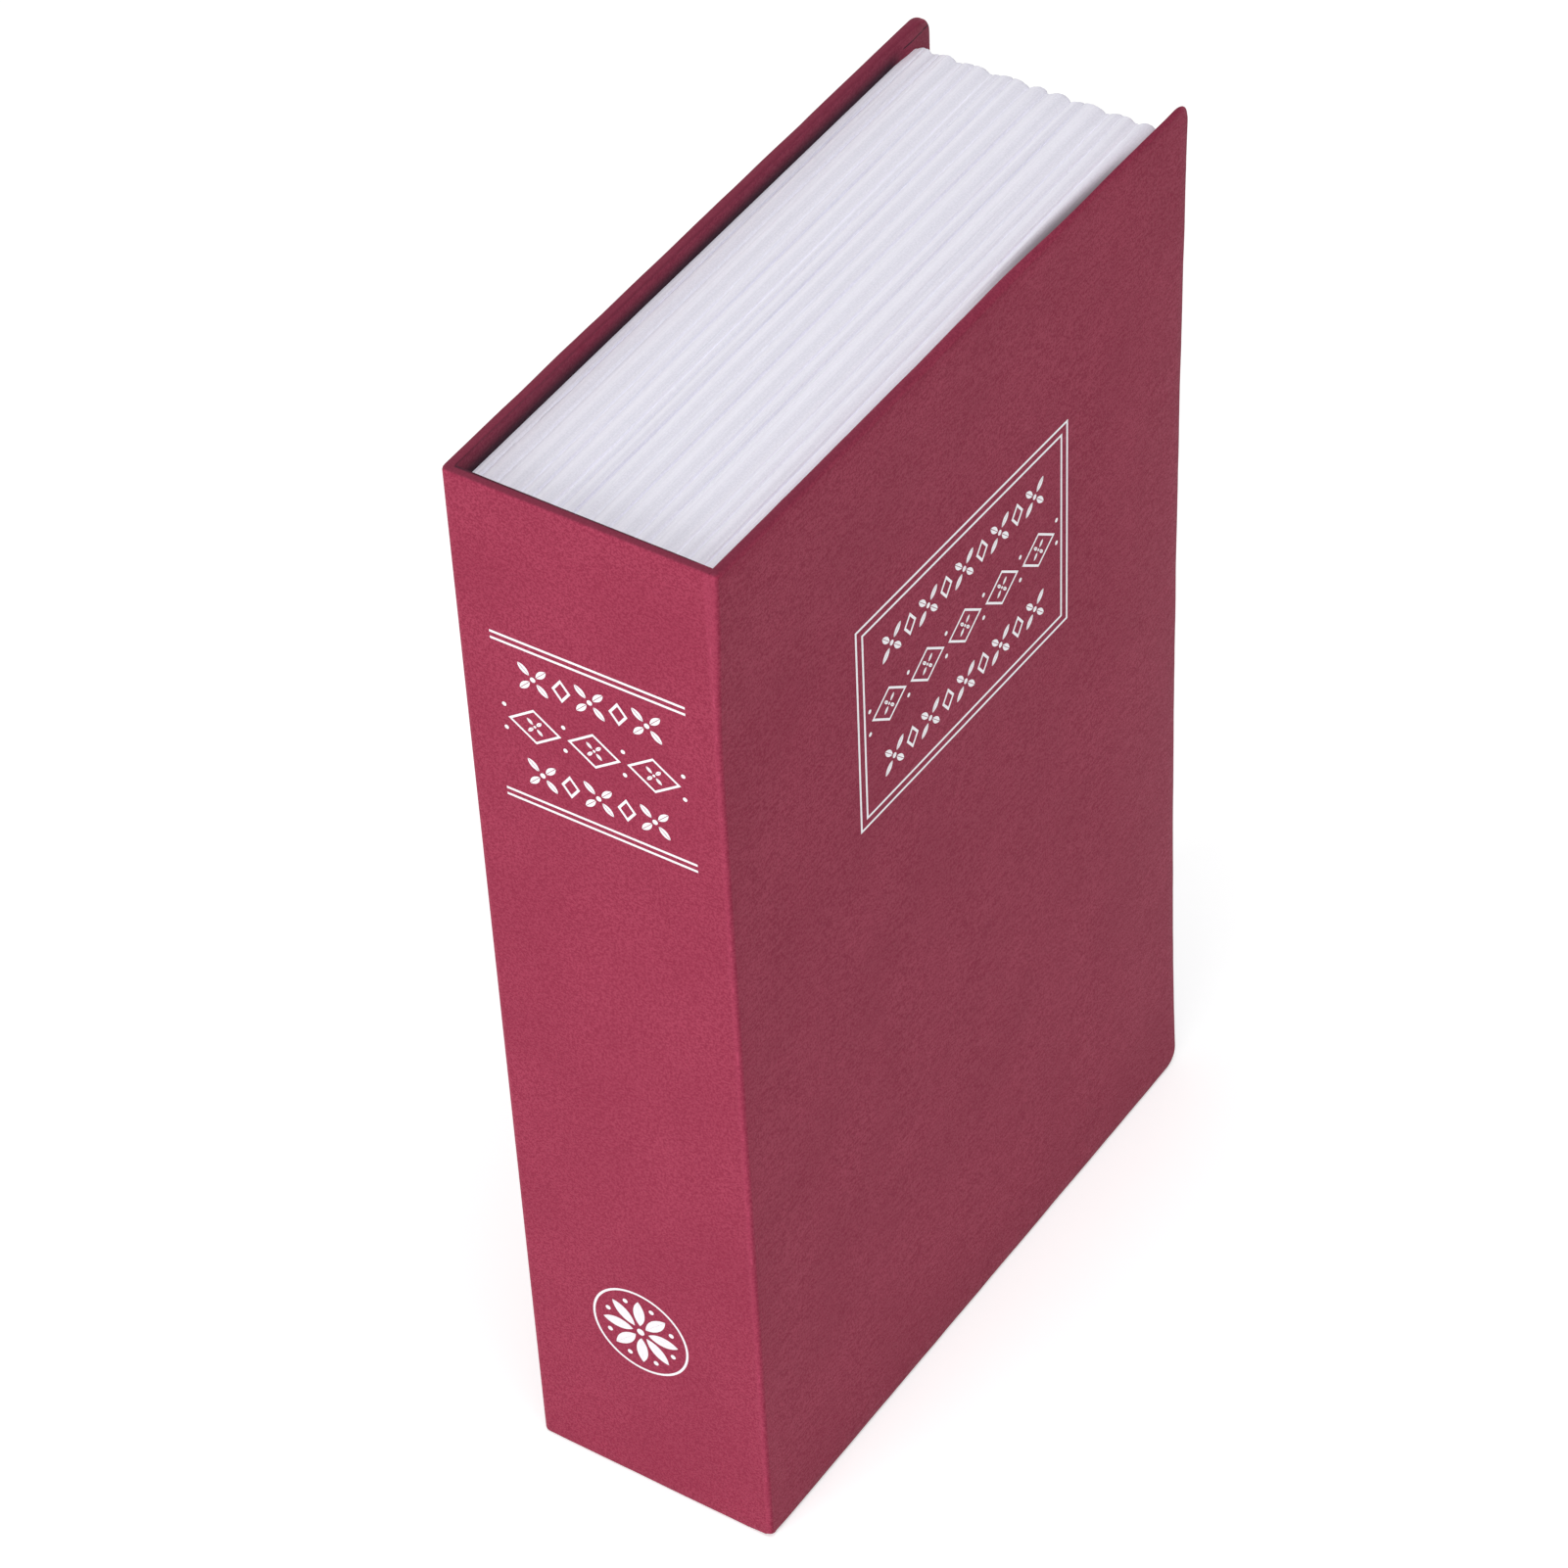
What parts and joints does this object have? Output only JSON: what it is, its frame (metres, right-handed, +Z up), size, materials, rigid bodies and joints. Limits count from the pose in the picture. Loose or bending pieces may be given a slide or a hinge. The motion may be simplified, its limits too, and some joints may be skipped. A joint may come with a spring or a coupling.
{
  "type": "book diversion safe",
  "caption": "Hardback book case round a ribbed page block, with a lidded steel box and a cam lock hidden under its front cover.",
  "frame": {"origin": "centre of the footprint, on the surface that the book stands on", "axes": "+Z up along the book's height, +X out of the front cover, -Y out of the spine"},
  "size_m": [0.0555, 0.148, 0.24],
  "materials": {
    "wrap": "matte leather-grained paper",
    "board": "raw grey board",
    "endpaper": "matte",
    "pages": "matte, ribbed",
    "box_steel": "powder coat",
    "plated_steel": "zinc plated",
    "lock_chrome": "polished",
    "wafer_brass": "satin"
  },
  "bodies": {
    "root": {"spine_wrap": "wrap", "spine_board": "board", "front_hinge_strip": "wrap", "back_cover_wrap": "wrap", "back_board": "board", "back_endpaper": "endpaper", "page_frame": "pages", "box_floor": "box_steel", "box_walls": "box_steel", "latch_keeper": "plated_steel", "box_rivet_1": "plated_steel", "box_rivet_2": "plated_steel", "box_rivet_3": "plated_steel", "box_rivet_4": "plated_steel", "box_hinge_leaf": "box_steel", "box_hinge_rivet_1": "plated_steel", "box_hinge_rivet_2": "plated_steel", "box_hinge_rivet_3": "plated_steel", "box_hinge_rivet_4": "plated_steel", "hinge_pin": "plated_steel"},
    "front_cover": {"front_cover_wrap": "wrap", "front_board": "board", "front_endpaper": "endpaper"},
    "lid": {"lid_panel": "box_steel", "lid_hinge_leaf": "box_steel", "lid_hinge_rivet_1": "plated_steel", "lid_hinge_rivet_2": "plated_steel", "lid_hinge_rivet_3": "plated_steel", "lid_hinge_rivet_4": "plated_steel", "lock_housing": "lock_chrome", "lock_washer": "plated_steel", "lock_nut": "plated_steel"},
    "lock_core": {"lock_plug": "lock_chrome", "lock_cam": "plated_steel", "cam_screw": "plated_steel"},
    "wafer_pack": {"lock_wafer_1": "wafer_brass", "lock_wafer_2": "wafer_brass", "lock_wafer_3": "wafer_brass", "lock_wafer_4": "wafer_brass"}
  },
  "joints": [
    {"name": "front_cover_hinge", "type": "hinge", "parent": "root", "child": "front_cover", "pos_m": [0.02465, -0.0731, 0.12], "axis": [0, 0, -1], "range_deg": [0, 180], "deforming": ["front_hinge_strip"]},
    {"name": "lid_hinge", "type": "hinge", "parent": "root", "child": "lid", "pos_m": [0.01895, -0.05895, 0.12], "axis": [0, 0, -1], "range_deg": [0, 110]},
    {"name": "lock_turn", "type": "hinge", "parent": "lid", "child": "lock_core", "pos_m": [0.02045, 0.04, 0.12], "axis": [1, 0, 0], "range_deg": [0, 90]},
    {"name": "wafer_slide", "type": "slide", "parent": "lock_core", "child": "wafer_pack", "axis": [0, 0, 1], "range_m": [0, 0.0006]}
  ],
  "couplings": [
    {"joint": "lid_hinge", "follows": "front_cover_hinge", "ratio": 0.61}
  ]
}
